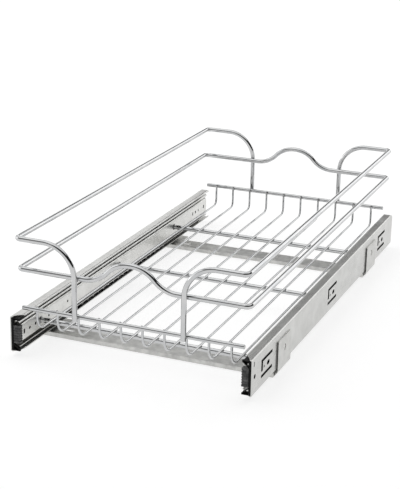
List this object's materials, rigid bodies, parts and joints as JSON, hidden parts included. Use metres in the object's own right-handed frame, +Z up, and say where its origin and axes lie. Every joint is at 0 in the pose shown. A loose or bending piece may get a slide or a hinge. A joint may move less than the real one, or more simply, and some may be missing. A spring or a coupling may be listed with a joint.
{
  "type": "pull-out cabinet basket",
  "caption": "Low chrome wire basket on two full-extension ball-bearing slides, joined by two floor-mounted cross rails, for a base cabinet.",
  "frame": {"origin": "on the cabinet floor, under the middle of the part", "axes": "+X to the right seen from the front, +Y to the back of the cabinet, +Z up; the basket pulls out along -Y"},
  "size_m": [0.289, 0.55, 0.1407],
  "materials": {
    "chrome_wire": "bright chrome plating on welded steel wire",
    "zinc_slide": "satin zinc plating on cold-rolled steel",
    "zinc_rail": "galvanised sheet, duller than the slides",
    "cage_steel": "dull steel strip, mostly hidden, finish assumed",
    "ball_steel": null,
    "rivet_steel": "zinc-plated rivet",
    "black_plastic": "moulded black plastic",
    "grey_plastic": "moulded dark grey plastic"
  },
  "bodies": {
    "frame": {"cabinet_member_left": "zinc_slide", "front_rivet_left": "rivet_steel", "rear_rivet_left": "rivet_steel", "cabinet_member_right": "zinc_slide", "front_rivet_right": "rivet_steel", "rear_rivet_right": "rivet_steel", "front_cross_rail": "zinc_rail", "rear_cross_rail": "zinc_rail"},
    "basket": {"drawer_member_left": "zinc_slide", "drawer_member_right": "zinc_slide", "end_cap_left": "grey_plastic", "end_cap_right": "grey_plastic", "upper_rail_left": "chrome_wire", "upper_rail_right": "chrome_wire", "lower_rail": "chrome_wire", "rim_wire_front": "chrome_wire", "rim_wire_rear": "chrome_wire", "cross_wire_front": "chrome_wire", "cross_wire_middle": "chrome_wire", "cross_wire_rear": "chrome_wire", "floor_wire_01": "chrome_wire", "floor_wire_02": "chrome_wire", "floor_wire_03": "chrome_wire", "floor_wire_04": "chrome_wire", "floor_wire_05": "chrome_wire", "floor_wire_06": "chrome_wire", "floor_wire_07": "chrome_wire", "floor_wire_08": "chrome_wire", "floor_wire_09": "chrome_wire", "floor_wire_10": "chrome_wire"},
    "middle_member_left_body": {"middle_member_left": "zinc_slide", "front_bumper_left": "black_plastic"},
    "outer_cage_left_body": {"outer_ball_cage_left": "cage_steel", "outer_balls_left": "ball_steel"},
    "inner_cage_left_body": {"inner_ball_cage_left": "cage_steel", "inner_balls_left": "ball_steel"},
    "middle_member_right_body": {"middle_member_right": "zinc_slide", "front_bumper_right": "black_plastic"},
    "outer_cage_right_body": {"outer_ball_cage_right": "cage_steel", "outer_balls_right": "ball_steel"},
    "inner_cage_right_body": {"inner_ball_cage_right": "cage_steel", "inner_balls_right": "ball_steel"}
  },
  "joints": [
    {"name": "basket_slide", "type": "slide", "parent": "frame", "child": "basket", "axis": [0, -1, 0], "range_m": [0, 0.55]},
    {"name": "middle_member_left_slide", "type": "slide", "parent": "frame", "child": "middle_member_left_body", "axis": [0, -1, 0], "range_m": [0, 0.275]},
    {"name": "outer_cage_left_slide", "type": "slide", "parent": "frame", "child": "outer_cage_left_body", "axis": [0, -1, 0], "range_m": [0, 0.1375]},
    {"name": "inner_cage_left_slide", "type": "slide", "parent": "frame", "child": "inner_cage_left_body", "axis": [0, -1, 0], "range_m": [0, 0.4125]},
    {"name": "middle_member_right_slide", "type": "slide", "parent": "frame", "child": "middle_member_right_body", "axis": [0, -1, 0], "range_m": [0, 0.275]},
    {"name": "outer_cage_right_slide", "type": "slide", "parent": "frame", "child": "outer_cage_right_body", "axis": [0, -1, 0], "range_m": [0, 0.1375]},
    {"name": "inner_cage_right_slide", "type": "slide", "parent": "frame", "child": "inner_cage_right_body", "axis": [0, -1, 0], "range_m": [0, 0.4125]}
  ],
  "couplings": [
    {"joint": "middle_member_left_slide", "follows": "basket_slide", "ratio": 0.5},
    {"joint": "outer_cage_left_slide", "follows": "basket_slide", "ratio": 0.25},
    {"joint": "inner_cage_left_slide", "follows": "basket_slide", "ratio": 0.75},
    {"joint": "middle_member_right_slide", "follows": "basket_slide", "ratio": 0.5},
    {"joint": "outer_cage_right_slide", "follows": "basket_slide", "ratio": 0.25},
    {"joint": "inner_cage_right_slide", "follows": "basket_slide", "ratio": 0.75}
  ]
}
